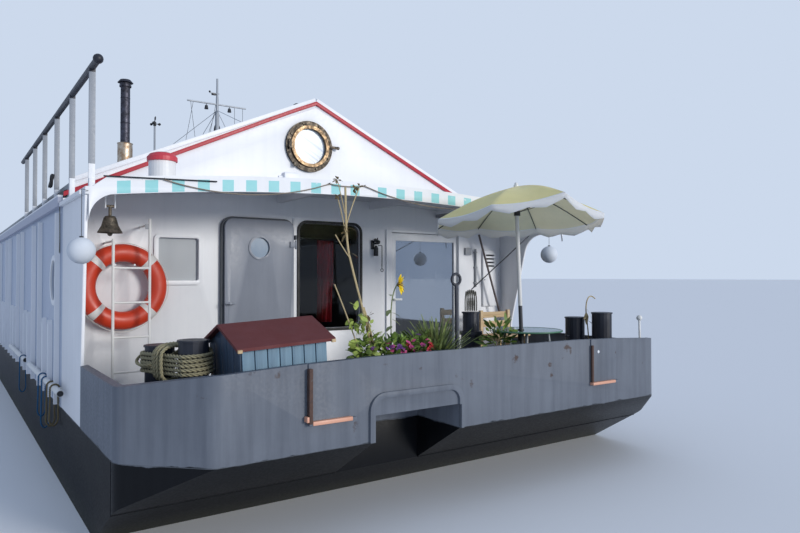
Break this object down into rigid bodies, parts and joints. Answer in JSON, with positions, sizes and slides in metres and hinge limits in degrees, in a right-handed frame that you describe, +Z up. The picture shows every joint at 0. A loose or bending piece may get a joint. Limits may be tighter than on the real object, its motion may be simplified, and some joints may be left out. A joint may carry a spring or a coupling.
{
  "type": "houseboat",
  "caption": "Houseboat on a flat-bottomed steel barge: gabled cabin, arched porch roof over a foredeck with bollards, doors that open, a swinging bell and a wind gauge",
  "frame": {"origin": "the middle of the hull's flat bottom, midway between bow and stern", "axes": "+Z up, +Y from bow to stern, +X to the right seen from ahead of the bow"},
  "size_m": [5.2766, 16.038, 5.28],
  "materials": {
    "hull_paint": "weathered mid grey steel paint with rust",
    "white_paint": "aged white gloss paint",
    "roof_paint": "grey roof coating",
    "red_paint": "red gloss paint",
    "door_paint": "satin grey-blue paint",
    "dark_paint": "dark grey paint",
    "window_rubber": "black window seal",
    "window_glass": "clear",
    "frosted_glass": "frosted",
    "door_frame": "white door profile",
    "bronze": "weathered bronze",
    "bell_bronze": "dark bronze",
    "galvanised": "dull galvanised steel",
    "stove_steel": "sooty steel",
    "dark_plastic": "black",
    "bollard_paint": "blue-black paint",
    "lifebuoy_orange": "orange with pale bands",
    "ladder_paint": "white paint",
    "lantern_paper": "white translucent ball",
    "kennel_boards": "light blue painted boards",
    "kennel_roofing": "dark red roofing",
    "planter_wood": "weathered boards",
    "leaves": "foliage",
    "table_plastic": "green garden table",
    "pole_paint": "white tube",
    "parasol_cloth": "pale yellow cloth with a white edge",
    "bench_wood": "oiled slats",
    "rope": "three-strand mooring rope"
  },
  "bodies": {
    "boat": {"hull": "hull_paint", "hull_bow_left": "hull_paint", "hull_bow_right": "hull_paint", "anchor_housing": "hull_paint", "bulwark_bow": "hull_paint", "bulwark_stern": "hull_paint", "wall_right": "white_paint", "wall_left": "white_paint", "wall_front": "white_paint", "wall_aft": "white_paint", "gable_front": "white_paint", "roof_right": "roof_paint", "roof_left": "roof_paint", "fascia_front": "red_paint", "porch_roof": "white_paint", "wing_left": "white_paint", "wing_right": "white_paint", "side_porthole_glass_right": "window_glass", "side_porthole_glass_left": "window_glass", "door_coaming": "dark_paint", "picture_window_frame": "window_rubber", "picture_window_glass": "window_glass", "small_window_glass": "frosted_glass", "gable_porthole": "bronze", "gable_porthole_glass": "window_glass", "roof_rail": "galvanised", "vent_head": "white_paint", "stove_pipe": "stove_steel", "wind_mast": "galvanised", "signal_mast": "galvanised", "bollards_bow_left": "bollard_paint", "bollards_bow_right": "bollard_paint", "bollard_bow_middle": "bollard_paint", "bollards_stern_left": "bollard_paint", "bollards_stern_right": "bollard_paint", "mooring_rope": "rope", "rope_hank": "rope", "lifebuoy": "lifebuoy_orange", "ladder": "ladder_paint", "bell_bracket": "dark_paint", "lantern_left": "lantern_paper", "lantern_right": "lantern_paper", "kennel_body": "kennel_boards", "kennel_roof": "kennel_roofing", "planter": "planter_wood", "planting": "leaves", "table": "table_plastic", "parasol_pole": "pole_paint", "parasol_canopy": "parasol_cloth", "bench": "bench_wood", "ring_post": "galvanised", "ball_fitting": "ladder_paint"},
    "steel_door": {"steel_door": "door_paint", "steel_door_glass": "window_glass"},
    "glass_door": {"glass_door": "door_frame", "glass_door_glass": "window_glass"},
    "locker_door": {"locker_door": "white_paint"},
    "aft_door": {"aft_door": "door_paint"},
    "bell": {"bell": "bell_bronze"},
    "wind_cups": {"wind_cups": "dark_plastic"}
  },
  "joints": [
    {"name": "steel_door_hinge", "type": "hinge", "parent": "boat", "child": "steel_door", "pos_m": [-0.42, -5.6, 2.1], "axis": [0, 0, 1], "range_deg": [0, 100]},
    {"name": "glass_door_hinge", "type": "hinge", "parent": "boat", "child": "glass_door", "pos_m": [1.812, -5.436, 2], "axis": [0, 0, -1], "range_deg": [0, 95]},
    {"name": "locker_door_hinge", "type": "hinge", "parent": "boat", "child": "locker_door", "pos_m": [2.455, -5.532, 2.275], "axis": [0, 0, 1], "range_deg": [0, 90]},
    {"name": "aft_door_hinge", "type": "hinge", "parent": "boat", "child": "aft_door", "pos_m": [0.415, 6.09, 2.2], "axis": [0, 0, -1], "range_deg": [0, 100]},
    {"name": "bell_swing", "type": "hinge", "parent": "boat", "child": "bell", "pos_m": [-2.333, -6.3, 2.835], "axis": [1, 0, 0], "range_deg": [-35, 35]},
    {"name": "wind_cups_spin", "type": "hinge", "parent": "boat", "child": "wind_cups", "pos_m": [-1.27, -3.45, 4.16], "axis": [0, 0, 1], "continuous": true}
  ]
}
